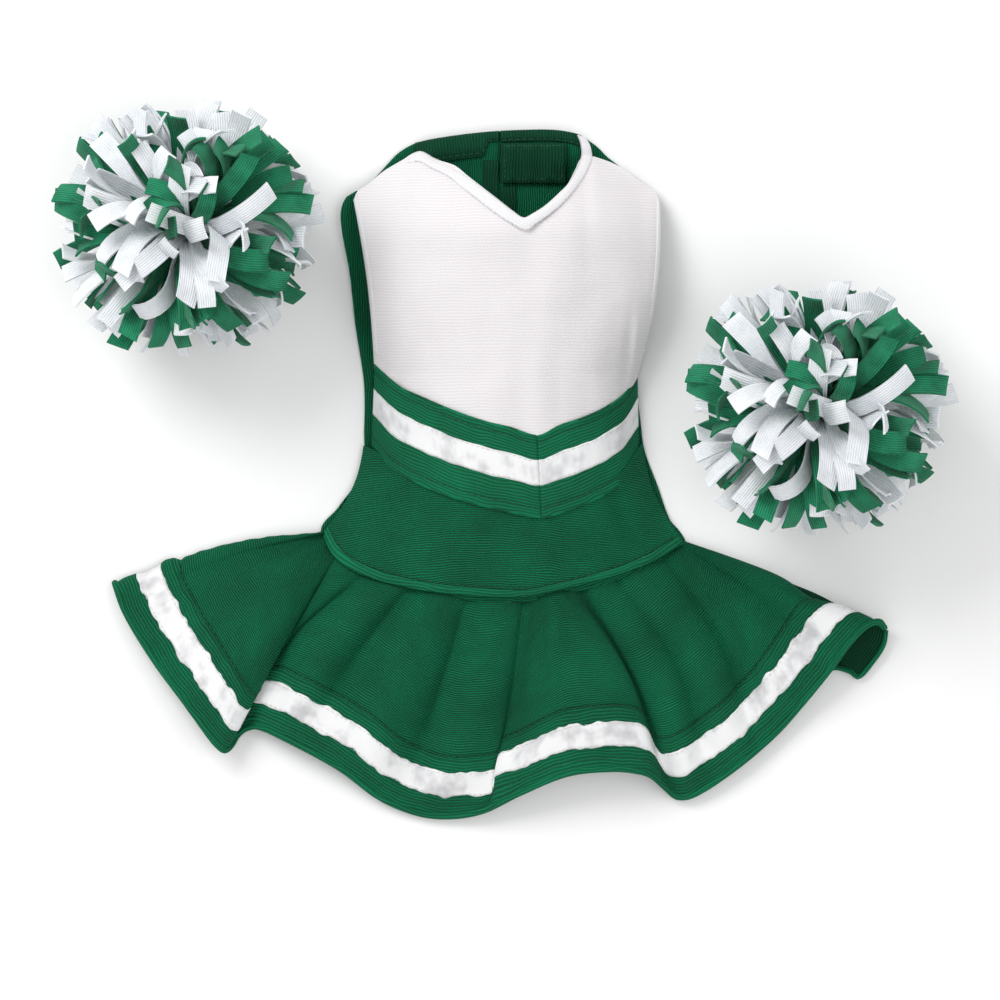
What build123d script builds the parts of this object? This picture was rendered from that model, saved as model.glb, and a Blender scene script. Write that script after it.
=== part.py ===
from build123d import *
import math
import os

os.makedirs("parts", exist_ok=True)

# Millimetres. The dress lies on its back: +X to the right, +Y towards the neck, +Z up.
# The origin is on the underside of the back, at the height of the waistband.

# Cloth
cloth = 1.2            # knit with its backing
trim = 0.6             # ribbon, binding or patch
trim_gap = 0.35        # air between a trim and the cloth that it is sewn to
move_gap = 1.2         # room between the skirt and the yoke that it folds against

# Bodice outline: widths and the heights at which they are measured
shoulder_width, shoulder_y = 114.0, 93.0
bust_width, bust_y = 118.0, 74.0
underarm_width, underarm_y = 102.0, 22.0
waist_width, waist_y = 106.0, -2.0
hip_width, hip_y = 142.0, -38.0
neck_width, neck_y = 66.0, 107.0
neck_vee_depth = 25.5
back_neck_rise = 7.0
neck_band_width = 44.0
back_outset = 3.0      # the back shows this much past the front at the armholes

# How far the front stands up from the back
bust_loft = 34.0
waist_loft = 27.0
yoke_loft = 14.5
armhole_loft = 15.0
shoulder_run = 34.0    # length over which the loft falls to the shoulder seam

# Waistband, satin ribbon and yoke
band_tip_y = -2.7
band_height = 30.0
band_rise = 24.5
ribbon_width = 9.5
ribbon_drop = 9.4      # from the band's top edge to the ribbon
yoke_length = 31.4     # from the tip of the band to the bottom of the yoke
yoke_roll = 3.2

# Skirt
hem_ribbon_inset = 10.0
hem_roll = 2.5
back_hem_inset = 6.0

# Bindings and the closure in the centre back
binding_width = 4.0
slit_x = -2.0
slit_width = 0.6
slit_bottom_y = -15.0
placket_width = 6.0
tab_width, tab_height = 25.5, 15.5
patch_margin = 2.5
tab_top_y = 111.0
left_band_low_y = 105.0

# Pompoms
pompom_diameter = 96.0
pompom_places = {"left": (-121.4, 77.6), "right": (119.5, 8.9)}
pompom_flat = 6.0      # how much the strips settle on the surface
tufts = 14
tie_radius, tie_height = 8.0, 9.0
loop_length, loop_width = 44.0, 9.0

# Where the columns of the bodice sheets run, from the left side seam to the right one
columns = [0, 0.035, 0.07, 0.14, 0.21, 0.30, 0.39, 0.48, 0.565, 0.62, 0.70, 0.78, 0.85, 0.93, 0.965, 1]
neck_left, vee, neck_right = 0.21, 0.565, 0.78
band_vee = 0.62


def between(table, at):
    """Smooth value of a table of (place, value) pairs, in rising order of place."""
    if at <= table[0][0]:
        return table[0][1]
    for (a, low), (b, high) in zip(table, table[1:]):
        if at <= b:
            share = (at - a) / (b - a)
            return low + (high - low) * share * share * (3 - 2 * share)
    return table[-1][1]


def half_width(y):
    return between(
        [
            (hip_y, hip_width / 2),
            (waist_y, waist_width / 2),
            (underarm_y, underarm_width / 2),
            (bust_y, bust_width / 2),
            (shoulder_y, shoulder_width / 2),
        ],
        y,
    )


def body_x(u, y):
    return (2 * u - 1) * half_width(y)


def edge_share(u):
    return abs(2 * u - 1)


def shoulder_line(u):
    """Height of the shoulder seam, carried straight on across the neck."""
    side = min(1, (1 - edge_share(u)) / (2 * neck_left))
    return shoulder_y + (neck_y - shoulder_y) * side


def front_z(u, y):
    """Upper surface of the front of the dress."""
    crown = between(
        [(yoke_bottom(0.5), yoke_loft), (waist_y, waist_loft), (bust_y, bust_loft)],
        y,
    )
    run = min(1, max(0, (shoulder_line(u) - y) / shoulder_run))
    fall = 1 - (1 - run) ** 2
    side = edge_share(u) ** 2.4
    open_side = 0.0
    if y > underarm_y:
        open_side = armhole_loft * math.sin(math.pi * min(1, (y - underarm_y) / (shoulder_y - underarm_y)))
    return 2 * cloth + crown * (1 - side) * fall + max(0, open_side) * side


def vee_line(u, tip_y):
    """One edge of the waistband: a shallow V whose sides curve up."""
    reach = band_vee if u < band_vee else 1 - band_vee
    return tip_y + band_rise * (abs(u - band_vee) / reach) ** 1.5


def yoke_bottom(u):
    low = band_tip_y - band_height - yoke_length
    return low + (hip_y - low) * edge_share(u) ** 2.2


def neck_line(u):
    """Top edge of the front: shoulder, V neck, shoulder."""
    tip_y = neck_y - neck_vee_depth
    if neck_left < u < neck_right:
        reach = vee - neck_left if u < vee else neck_right - vee
        return tip_y + neck_vee_depth * abs(u - vee) / reach
    return shoulder_line(u)


def solid_from(top, bottom):
    """Closed sheet between two grids of points that stand one above the other."""
    faces = []

    def add(*corners):
        faces.append(Face(Wire.make_polygon([Vector(*c) for c in corners], close=True)))

    rows, cols = len(top), len(top[0])
    for i in range(rows - 1):
        for j in range(cols - 1):
            for grid in (top, bottom):
                a, b, c, d = grid[i][j], grid[i][j + 1], grid[i + 1][j + 1], grid[i + 1][j]
                add(a, b, c)
                add(a, c, d)
    for i in range(rows - 1):
        for j in (0, cols - 1):
            add(top[i][j], top[i + 1][j], bottom[i + 1][j], bottom[i][j])
    for j in range(cols - 1):
        for i in (0, rows - 1):
            add(top[i][j], top[i][j + 1], bottom[i][j + 1], bottom[i][j])
    return Solid(Shell(faces))


def bodice_sheet(us, low, high, rows, lift, thickness):
    """Part of the front between two edges, lifted off the front's upper surface."""
    top = []
    for i in range(rows + 1):
        share = i / rows
        row = []
        for u in us:
            y = low(u) + (high(u) - low(u)) * share
            row.append((body_x(u, y), y, front_z(u, y) + lift))
        top.append(row)
    bottom = [[(x, y, z - thickness) for x, y, z in row] for row in top]
    return solid_from(top, bottom)


def columns_in(low, high):
    return [u for u in columns if low <= u <= high]


def save(name, shape):
    shape.label = name
    export_step(shape, f"parts/{name}.step")


trim_lift = trim + trim_gap


# Front of the bodice, its bindings and the waistband
def make_front():
    save(
        "front_panel",
        bodice_sheet(columns, lambda u: vee_line(u, band_tip_y), neck_line, 9, 0, cloth),
    )
    save(
        "neck_binding",
        bodice_sheet(
            columns_in(neck_left, neck_right),
            lambda u: neck_line(u) - binding_width,
            neck_line,
            1,
            trim_lift,
            trim,
        ),
    )
    for side, us in (("left", columns[:2]), ("right", columns[-2:])):
        save(
            f"armhole_binding_{side}",
            bodice_sheet(us, lambda u: underarm_y + band_rise / 2, shoulder_line, 18, 2 * trim_lift, trim),
        )


def make_waistband():
    band_bottom = band_tip_y - band_height
    ribbon_top = band_tip_y - ribbon_drop
    for side, us in (("left", columns_in(0, band_vee)), ("right", columns_in(band_vee, 1))):
        save(
            f"waistband_{side}",
            bodice_sheet(
                us,
                lambda u: vee_line(u, band_bottom),
                lambda u: vee_line(u, band_tip_y),
                4,
                0,
                cloth,
            ),
        )
        save(
            f"waist_ribbon_{side}",
            bodice_sheet(
                us,
                lambda u: vee_line(u, ribbon_top - ribbon_width),
                lambda u: vee_line(u, ribbon_top),
                4,
                trim_lift,
                trim,
            ),
        )
    save(
        "yoke_front",
        bodice_sheet(columns, yoke_bottom, lambda u: vee_line(u, band_bottom), 4, 0, cloth),
    )
    save(
        "yoke_edge_roll",
        bodice_sheet(
            columns_in(0.035, 0.965),
            yoke_bottom,
            lambda u: yoke_bottom(u) + yoke_roll,
            1,
            trim_lift,
            trim,
        ),
    )


# Back of the dress: two halves that meet at a slit, its facings and the closure
def back_edge(y):
    """Half width of the back, which stands past the front beside the armholes."""
    beside = 0.0
    if y > underarm_y:
        beside = back_outset * min(1, (y - underarm_y) / (bust_y - underarm_y))
    return half_width(y) + beside


def back_outline():
    side_levels = [hip_y, -24, -12, waist_y, underarm_y, 40, 57, bust_y, 84, shoulder_y]
    bottom = [(body_x(u, yoke_bottom(u)), yoke_bottom(u)) for u in columns[1:-1]]
    right = [(back_edge(y), y) for y in side_levels]
    neck = neck_width / 2
    top = [(neck + 2, neck_y + 3), (neck / 2, neck_y + 0.8 * back_neck_rise), (0, neck_y + back_neck_rise)]
    upper_left = [(-x, y) for x, y in reversed(top[:-1])]
    left = [(-back_edge(y), y) for y in reversed(side_levels)]
    return bottom + right + top + upper_left + left


def plate(points, z, thickness):
    return extrude(Plane.XY.offset(z) * make_face(Polyline(*points, close=True)), thickness)


def slab(x0, x1, y0, y1, z0, z1):
    return Pos((x0 + x1) / 2, (y0 + y1) / 2, (z0 + z1) / 2) * Box(x1 - x0, y1 - y0, z1 - z0)


def make_back():
    reach = 2 * hip_width
    slit_left, slit_right = slit_x - slit_width / 2, slit_x + slit_width / 2
    whole = plate(back_outline(), 0, cloth)
    slit = slab(slit_left, slit_right, slit_bottom_y, reach, 0, cloth)
    left_half = slab(-reach, slit_x, -reach, reach, 0, cloth)
    right_half = slab(slit_x, reach, -reach, reach, 0, cloth)
    save("back_panel_left", (whole & left_half) - slit)
    save("back_panel_right", (whole & right_half) - slit)

    facing_bottom = cloth + trim_gap
    facing_top = facing_bottom + trim
    band = plate(back_outline(), facing_bottom, trim) & slab(
        -neck_band_width / 2, neck_band_width / 2, left_band_low_y, reach, facing_bottom, facing_top
    )
    save("back_neck_band_left", band & slab(-reach, slit_left, -reach, reach, 0, reach))
    save("back_neck_band_right", band & slab(slit_right, reach, tab_top_y + trim, reach, 0, reach))

    tab_low_y = tab_top_y - tab_height
    save(
        "back_placket_left",
        slab(
            slit_left - placket_width,
            slit_left,
            slit_bottom_y,
            left_band_low_y - trim,
            facing_bottom,
            facing_top,
        ),
    )
    save(
        "back_placket_right",
        slab(
            slit_right,
            slit_right + placket_width,
            slit_bottom_y,
            tab_low_y - trim,
            facing_bottom,
            facing_top,
        ),
    )

    patch_x0 = slit_right + patch_margin
    patch_x1 = slit_right + tab_width - patch_margin
    patch_y0, patch_y1 = tab_low_y + patch_margin, tab_top_y - patch_margin
    hook_bottom = facing_top + trim_gap
    tab_bottom = hook_bottom + trim
    save("closure_loop_patch", slab(patch_x0, patch_x1, patch_y0, patch_y1, facing_bottom, facing_top))
    save("closure_hook_patch", slab(patch_x0, patch_x1, patch_y0, patch_y1, hook_bottom, tab_bottom))
    save(
        "closure_tab",
        slab(slit_right, slit_right + tab_width, tab_low_y, tab_top_y, tab_bottom, tab_bottom + cloth),
    )


# Skirt: the hem's points carry its flutes, which stand where the hem draws in
hem_points = [
    (-151, -62, 3.6), (-137, -88, 8), (-124, -105.5, 5.5), (-111, -122.5, 4), (-99, -116.5, 15),
    (-84.5, -120.5, 11), (-63.5, -131.5, 7), (-48, -143, 5), (-32.5, -149.5, 4), (-12, -149, 6.5),
    (6, -141, 14), (24.5, -133, 16), (42.5, -131.5, 14), (57, -134.5, 8), (68, -142.8, 4.5),
    (89, -131.5, 8), (105, -118, 5.5), (119, -102, 5), (130, -93, 10), (142, -89, 8), (147.5, -78, 3.6),
]
hem_curve = Spline(*hem_points)
skirt_floor = trim + trim_gap      # the back layer lies on its own ribbon
skirt_columns = [i / 44 for i in range(45)]
flute_length = 110.0               # from the yoke to the hem


def seam_point(u):
    """Top of the skirt, just clear of the yoke's bottom edge."""
    y = yoke_bottom(u)
    return Vector(body_x(u, y), y - move_gap, front_z(u, y) - cloth)


def skirt_point(u, v):
    start, end = seam_point(u), hem_curve @ u
    line = start + (end - start) * v
    edge = min(1, 8 * min(u, 1 - u))
    swell = 5 * math.sin(math.pi * v) * edge
    floor_z = skirt_floor + 2 * cloth
    return (line.X, line.Y, max(line.Z + swell, floor_z))


def skirt_strip(v0, v1, rows, lift, thickness):
    top = []
    for i in range(rows + 1):
        v = v0 + (v1 - v0) * i / rows
        top.append([(x, y, z + lift) for x, y, z in (skirt_point(u, v) for u in skirt_columns)])
    bottom = [[(x, y, z - thickness) for x, y, z in row] for row in top]
    return solid_from(top, bottom)


def back_layer_point(u, v):
    """The back layer lies flat under the front one, a little shorter at the hem."""
    start, end = seam_point(u), hem_curve @ u
    start, end = Vector(start.X, start.Y), Vector(end.X, end.Y)
    length = (end - start).length
    return start + (end - start) * (v * (length - back_hem_inset) / length)


def back_layer(v0, v1, z, thickness):
    upper = [back_layer_point(u, v0) for u in skirt_columns]
    lower = [back_layer_point(u, v1) for u in skirt_columns]
    return plate([(p.X, p.Y) for p in upper + lower[::-1]], z, thickness)


def make_skirt():
    roll_start = 1 - hem_roll / flute_length
    ribbon_end = 1 - hem_ribbon_inset / flute_length
    ribbon_start = ribbon_end - ribbon_width / flute_length
    save("skirt_front", skirt_strip(0, roll_start, 7, 0, cloth))
    save("hem_ribbon_front", skirt_strip(ribbon_start, ribbon_end, 1, trim_lift, trim))
    save("hem_edge_front", skirt_strip(roll_start, 1, 1, trim / 2, cloth + trim / 2))
    save("skirt_back", back_layer(0, roll_start, skirt_floor, cloth))
    save("hem_ribbon_back", back_layer(ribbon_start, ribbon_end, 0, trim))
    save("hem_edge_back", back_layer(roll_start, 1, 0, skirt_floor + cloth))


# Pompoms: knit strips gathered by a tie, with an elastic loop for the paw underneath
def make_pompom(side, place):
    radius = pompom_diameter / 2
    middle = radius - pompom_flat
    spot = Pos(place[0], place[1], 0)
    loop = extrude(SlotOverall(loop_length, loop_width), 2 * cloth)
    room = extrude(SlotOverall(loop_length + cloth, loop_width + cloth), 2 * cloth + trim_gap)
    tie = Pos(0, 0, middle) * Cylinder(tie_radius, tie_height)
    core = Pos(0, 0, middle) * Cylinder(tie_radius + trim_gap, tie_height + 2 * trim_gap)
    ball = Pos(0, 0, middle) * Sphere(radius) - slab(-radius, radius, -radius, radius, -radius, 0)
    ball = ball - core - room
    step = 360 / tufts
    wedge_outline = make_face(
        Polyline(
            (0, 0),
            (2 * radius, 0),
            (2 * radius * math.cos(math.radians(step)), 2 * radius * math.sin(math.radians(step))),
            close=True,
        )
    )
    wedge = extrude(wedge_outline, 2 * radius)
    for first, colour in enumerate(("green", "white")):
        group = [ball & (Rot(0, 0, step * k) * wedge) for k in range(first, tufts, 2)]
        solids = [spot * piece for part in group for piece in part.solids()]
        save(f"pompom_{side}_{colour}_strips", Compound(children=solids))
    save(f"pompom_{side}_tie", spot * tie)
    save(f"pompom_{side}_paw_loop", spot * loop)


make_front()
make_waistband()
make_back()
make_skirt()
for side_name, side_place in pompom_places.items():
    make_pompom(side_name, side_place)
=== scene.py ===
import bpy, functools, math, random
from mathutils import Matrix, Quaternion, Vector, noise


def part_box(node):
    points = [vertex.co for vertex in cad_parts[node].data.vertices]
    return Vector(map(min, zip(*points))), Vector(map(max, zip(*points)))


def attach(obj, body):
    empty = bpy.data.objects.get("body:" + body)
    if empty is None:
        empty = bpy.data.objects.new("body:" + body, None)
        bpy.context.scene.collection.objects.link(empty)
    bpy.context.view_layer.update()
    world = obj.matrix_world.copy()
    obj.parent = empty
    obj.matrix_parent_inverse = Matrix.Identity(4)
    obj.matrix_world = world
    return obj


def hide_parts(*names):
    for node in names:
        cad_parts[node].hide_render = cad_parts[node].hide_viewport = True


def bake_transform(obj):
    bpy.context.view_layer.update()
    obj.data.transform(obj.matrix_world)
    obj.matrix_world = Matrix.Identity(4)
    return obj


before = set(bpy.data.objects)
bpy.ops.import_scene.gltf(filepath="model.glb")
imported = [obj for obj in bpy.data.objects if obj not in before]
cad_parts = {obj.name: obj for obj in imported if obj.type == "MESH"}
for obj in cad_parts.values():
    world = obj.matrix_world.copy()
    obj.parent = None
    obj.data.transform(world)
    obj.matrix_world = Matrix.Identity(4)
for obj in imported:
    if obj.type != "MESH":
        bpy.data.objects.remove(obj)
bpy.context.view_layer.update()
mm = 0.001


def curve(points, at):
    # smooth value through rows of (place, value, value...), in rising order of place
    if at <= points[0][0]:
        return list(points[0][1:])
    if at >= points[-1][0]:
        return list(points[-1][1:])
    i = next(k for k in range(len(points) - 1) if at <= points[k + 1][0])
    a, b = points[i], points[i + 1]
    before, after = points[max(i - 1, 0)], points[min(i + 2, len(points) - 1)]
    step = b[0] - a[0]
    t = (at - a[0]) / step
    out = []
    for k in range(1, len(a)):
        slopeA = (b[k] - before[k]) / (b[0] - before[0]) * step
        slopeB = (after[k] - a[k]) / (after[0] - a[0]) * step
        out.append(
            a[k] * (2 * t**3 - 3 * t**2 + 1) + slopeA * (t**3 - 2 * t**2 + t)
            + b[k] * (3 * t**2 - 2 * t**3) + slopeB * (t**3 - t**2)
        )
    return out


def byLength(points):
    # puts each point's share of the whole length in front of it
    total, rows = 0.0, [[0.0, *points[0]]]
    for a, b in zip(points, points[1:]):
        total += math.dist(a[:2], b[:2])
        rows.append([total, *b])
    return [[row[0] / total, *row[1:]] for row in rows]


def steps(count, low=0.0, high=1.0):
    return [low + (high - low) * k / count for k in range(count + 1)]


def mixPoint(a, b, t):
    return [p + (q - p) * t for p, q in zip(a, b)]


def smoothStep(t):
    t = min(1.0, max(0.0, t))
    return t * t * (3 - 2 * t)


def bell(distance, width):
    # 1 at no distance, fading to nothing on both sides
    return math.exp(-((distance / width) ** 2))


def ripple(x, y, size, seed=0.0):
    # gentle unevenness of the cloth, about -1 to 1
    return noise.noise(Vector((x / size, y / size, seed)))


def pinch(x, y, mark):
    # a short soft fold: its depth, middle, lean, and half width and length
    depth, middleX, middleY, lean, width, length = mark
    return depth * bell(x - middleX - lean * (y - middleY), width) * bell(y - middleY, length)


def gridOf(columns, rows, point):
    # point(across, down) is one (x, y, z, u, v) of a cloth
    return [[point(u, v) for u in columns] for v in rows]


def rawMesh(name, verts, faces, uvs=None):
    mesh = bpy.data.meshes.new(name)
    mesh.from_pydata(verts, [], faces)
    if uvs:
        layer = mesh.uv_layers.new(name="cloth")
        for loop, uv in zip(layer.data, uvs):
            loop.uv = uv
    for polygon in mesh.polygons:
        polygon.use_smooth = True
    piece = bpy.data.objects.new(name, mesh)
    bpy.context.scene.collection.objects.link(piece)
    return piece


def settle(piece):
    # applies what is on the piece, so its mesh is final
    bpy.context.view_layer.update()
    graph = bpy.context.evaluated_depsgraph_get()
    done = bpy.data.meshes.new_from_object(piece.evaluated_get(graph))
    piece.modifiers.clear()
    old = piece.data
    piece.data = done
    done.name = piece.name
    bpy.data.meshes.remove(old)


def clothMesh(name, rows, thickness=0.8):
    # rows of (x, y, z, u, v) in millimetres, top side up, as a closed sheet
    width = len(rows[0])
    verts = [(p[0] * mm, p[1] * mm, p[2] * mm) for row in rows for p in row]
    faces, uvs = [], []
    for i in range(len(rows) - 1):
        for j in range(width - 1):
            corners = [(i, j), (i, j + 1), (i + 1, j + 1), (i + 1, j)]
            faces.append([a * width + b for a, b in corners])
            uvs.extend((rows[a][b][3] * mm, rows[a][b][4] * mm) for a, b in corners)
    piece = rawMesh(name, verts, faces, uvs)
    if piece.data.polygons[len(faces) // 2].normal.z < 0:
        piece.data.flip_normals()
    solid = piece.modifiers.new("thickness", "SOLIDIFY")
    solid.thickness = thickness * mm
    solid.offset = -1
    settle(piece)
    return piece


def dress(piece, material, slot, *nodes, body="dress"):
    piece.data.materials.clear()
    piece.data.materials.append(material)
    if nodes:
        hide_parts(*nodes)
    if body:
        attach(piece, body)
    return piece


def foldWithSkirt(piece):
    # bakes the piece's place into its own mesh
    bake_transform(piece)
    return piece


def dashes(path, stitch, gap):
    # ends of each thread dash along a path, starting with a gap
    marks, done, start = [], 0.0, None
    for a, b in zip(path, path[1:]):
        a, b = Vector(a), Vector(b)
        length = (b - a).length
        along = 0.0
        while length - along > 1e-6:
            full = gap if start is None else stitch
            move = min(full - done, length - along)
            along += move
            done += move
            if done >= full - 1e-6:
                here = a + (b - a) * (along / length)
                if start is None:
                    start = here
                else:
                    marks.append((start, here))
                    start = None
                done = 0.0
    return marks


dashRings = [(0.0, 0.3), (0.25, 0.9), (0.75, 0.9), (1.0, 0.3)]     # place along a dash, and its size there


def stitchRow(name, path, material, slot, body="dress", stitch=2.0, gap=0.6, thick=0.5):
    # one thread dash after another along a path of points, in millimetres
    verts, faces = [], []
    up = Vector((0, 0, 1))
    for a, b in dashes(path, stitch, gap):
        along = (b - a).normalized()
        side = along.cross(up)
        side = side.normalized() * thick / 2 if side.length > 0.01 else Vector((thick / 2, 0, 0))
        rise = side.cross(along).normalized() * thick / 2
        base = len(verts)
        for t, size in dashRings:
            c = a + (b - a) * t
            for off in (side, rise, -side, -rise):
                verts.append(tuple((c + off * size) * mm))
        for r in range(len(dashRings) - 1):
            low, high = base + r * 4, base + (r + 1) * 4
            for k in range(4):
                n = (k + 1) % 4
                faces.append((low + k, low + n, high + n, high + k))
        faces.append((base + 3, base + 2, base + 1, base))
        last = base + (len(dashRings) - 1) * 4
        faces.append((last, last + 1, last + 2, last + 3))
    return dress(rawMesh(name, verts, faces), material, slot, body=body)


def nodeTree(name):
    material = bpy.data.materials.new(name)
    material.use_nodes = True
    return material, material.node_tree, material.node_tree.nodes["Principled BSDF"]


def wired(tree, kind, inputs=None, **settings):
    node = tree.nodes.new(kind)
    for key, value in settings.items():
        setattr(node, key, value)
    for key, value in (inputs or {}).items():
        if isinstance(value, bpy.types.NodeSocket):
            tree.links.new(value, node.inputs[key])
        else:
            node.inputs[key].default_value = value
    return node


def worked(tree, operation, *values):
    return wired(tree, "ShaderNodeMath", dict(enumerate(values)), operation=operation).outputs[0]


def clouds(tree, where, scale, detail):
    node = wired(tree, "ShaderNodeTexNoise", {"Vector": where, "Scale": scale, "Detail": detail})
    return node.outputs["Fac"]


def clothPlace(tree):
    return wired(tree, "ShaderNodeUVMap", uv_map="cloth").outputs["UV"]


def ramp(tree, level, stops):
    node = wired(tree, "ShaderNodeValToRGB", {"Fac": level})
    while len(node.color_ramp.elements) < len(stops):
        node.color_ramp.elements.new(0.5)
    for element, (place, colour) in zip(node.color_ramp.elements, stops):
        element.position = place
        element.color = (*colour, 1)
    return node.outputs["Color"]


def finished(tree, shader, look, height, level):
    # every material ends the same way: relief from height, colour from level, and the shader's own values
    bump = wired(tree, "ShaderNodeBump", {
        "Height": height, "Strength": look["bump"], "Distance": look["depth"] * mm,
    })
    tree.links.new(bump.outputs["Normal"], shader.inputs["Normal"])
    tree.links.new(ramp(tree, level, look["colours"]), shader.inputs["Base Color"])
    for socket, key in (
        ("Roughness", "roughness"), ("Specular IOR Level", "specular"),
        ("Sheen Weight", "sheen"), ("Sheen Roughness", "sheenRoughness"),
    ):
        if key in look:
            shader.inputs[socket].default_value = look[key]


def knitMaterial(name, look):
    # courses run along U; V counts millimetres across them
    material, tree, shader = nodeTree(name)
    uv = clothPlace(tree)
    drift = wired(tree, "ShaderNodeTexNoise", {"Vector": uv, "Scale": 60.0, "Detail": 2.0})
    bent = wired(
        tree, "ShaderNodeMix", {0: look["waver"], 4: uv, 5: drift.outputs["Color"]},
        data_type="VECTOR", factor_mode="UNIFORM",
    ).outputs[1]
    parts = wired(tree, "ShaderNodeSeparateXYZ", {"Vector": bent})
    along, down = parts.outputs["X"], parts.outputs["Y"]

    def wave(source, pitch, deep=1.0):
        turn = worked(tree, "MULTIPLY", source, 2 * math.pi / (pitch * mm))
        return worked(tree, "MULTIPLY_ADD", worked(tree, "SINE", turn), 0.5 * deep, 0.5)

    ribs = wave(down, look["rib"], look["ribDepth"])
    if look["band"]:
        # the hem band is ribbed more widely than the cloth above it
        inside = worked(tree, "LESS_THAN", down, look["band"] * mm)
        wide = wave(down, look["bandRib"], look["bandDepth"])
        ribs = wired(tree, "ShaderNodeMix", {0: inside, 2: ribs, 3: wide}, data_type="FLOAT").outputs[0]
    slant = worked(tree, "MULTIPLY_ADD", down, look["slant"], along)
    height = worked(tree, "MULTIPLY_ADD", wave(slant, look["stitch"]), look["stitchDepth"], ribs)
    rough = worked(tree, "MULTIPLY_ADD", clouds(tree, uv, 2600.0, 2.0), look["fuzz"], height)
    # the colour follows the ribs and stitches: darker in their grooves as painted shade and lighter on their
    # tops as painted highlight, with fine speckle and larger random patches of tone over it
    paintedShadeAndTone = worked(tree, "MULTIPLY_ADD", clouds(tree, uv, 38.0, 3.0), look["patch"], rough)
    top = 1 + look["stitchDepth"] + look["fuzz"] + look["patch"]
    finished(tree, shader, look, rough, worked(tree, "MULTIPLY", paintedShadeAndTone, 1 / top))
    shader.inputs["Sheen Tint"].default_value = (*look["sheenTint"], 1)
    return material


greenKnit = {
    # pitches in millimetres, and how much each pattern weighs
    "rib": 0.88, "ribDepth": 1.0, "stitch": 0.62, "stitchDepth": 0.35, "slant": 0.6,
    "fuzz": 0.95, "patch": 0.9, "waver": 0.004, "bump": 1.0, "depth": 0.46, "roughness": 0.8,
    "specular": 0.12, "sheen": 0.05,
    "sheenRoughness": 0.45, "sheenTint": (0.1, 0.9, 0.5), "band": 0.0,
    # from dark to light: the darkest green is painted shade in the rib grooves, the lightest a painted
    # highlight on the rib tops
    "colours": [(0.24, (0.004, 0.030, 0.013)), (0.5, (0.006, 0.122, 0.053)), (0.78, (0.004, 0.260, 0.120))],
}
green = knitMaterial("green tricot", greenKnit)
greenBand = knitMaterial("green band tricot", {
    **greenKnit, "rib": 1.2, "ribDepth": 0.62, "bump": 0.8, "depth": 0.42, "stitchDepth": 0.2, "fuzz": 0.75,
})
greenSkirt = knitMaterial("green skirt tricot", {
    **greenKnit, "band": 25.0, "bandRib": 1.2, "bandDepth": 0.75,
})
# a darker copy of the green tricot: painted shade for the cloth seen inside the neck and for the skirt's back
# layer under the front
greenShadedCopy = knitMaterial("green tricot with painted shade", {
    **greenKnit, "rib": 1.1, "bump": 0.8, "sheen": 0.0,
    "colours": [(0.2, (0.003, 0.020, 0.009)), (0.5, (0.005, 0.055, 0.026)), (0.85, (0.005, 0.105, 0.048))],
})
whiteKnit = {**greenKnit, "sheenTint": (1, 1, 1), "waver": 0.002}
white = knitMaterial("white tricot", {
    **whiteKnit, "rib": 1.2, "stitch": 0.9, "stitchDepth": 0.8, "fuzz": 0.9, "patch": 1.0,
    "bump": 0.3, "depth": 0.14, "roughness": 0.85,
    "colours": [(0.15, (0.64, 0.60, 0.615)), (0.45, (0.745, 0.715, 0.73)), (0.8, (0.80, 0.785, 0.795))],
})
whiteTrim = knitMaterial("white trim tricot", {
    **whiteKnit, "rib": 0.8, "stitch": 0.7, "stitchDepth": 0.4, "fuzz": 0.3, "patch": 0.3,
    "bump": 0.4, "depth": 0.15,
    "colours": [(0.1, (0.69, 0.68, 0.695)), (0.5, (0.76, 0.755, 0.77)), (0.85, (0.81, 0.81, 0.82))],
})
elastic = knitMaterial("white elastic", {
    **whiteKnit, "waver": 0.004, "rib": 0.9, "stitch": 1.1, "stitchDepth": 0.5, "fuzz": 0.2, "patch": 0.3,
    "bump": 0.6, "depth": 0.25, "roughness": 0.6,
    "colours": [(0.1, (0.60, 0.61, 0.63)), (0.5, (0.76, 0.77, 0.79)), (0.85, (0.85, 0.86, 0.88))],
})

satinLook = {
    "across": 26.0, "along": 120.0, "clouds": 62.0, "threads": 2600.0, "depth": 0.3, "bump": 0.4,
    "roughness": 0.34, "specular": 0.6, "sheen": 0.1,
    # greys to white: painted shade in the creases and painted reflection on the white satin
    "colours": [
        (0.44, (0.50, 0.50, 0.51)), (0.54, (0.66, 0.66, 0.67)),
        (0.62, (0.81, 0.81, 0.82)), (0.8, (0.85, 0.85, 0.85)),
    ],
}


def satinMaterial(name, look):
    material, tree, shader = nodeTree(name)
    uv = clothPlace(tree)
    # the colour is painted light: grey along the stretched creases as painted shade, and cloudy grey and white
    # patches as a painted reflection of the shiny satin
    stretched = wired(
        tree, "ShaderNodeMapping", {"Vector": uv, "Scale": (look["along"], look["across"], 1.0)},
    ).outputs["Vector"]
    creased = clouds(tree, stretched, 1.0, 3.0)
    shadow = wired(tree, "ShaderNodeTexNoise", {
        "Vector": uv, "Scale": look["clouds"], "Detail": 3.0, "Roughness": 0.6,
    }).outputs["Fac"]
    height = worked(tree, "MULTIPLY_ADD", clouds(tree, uv, look["threads"], 1.0), 0.06, creased)
    finished(tree, shader, look, height, worked(tree, "MULTIPLY_ADD", creased, 0.25, shadow))
    return material


satin = satinMaterial("white satin", satinLook)


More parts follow.
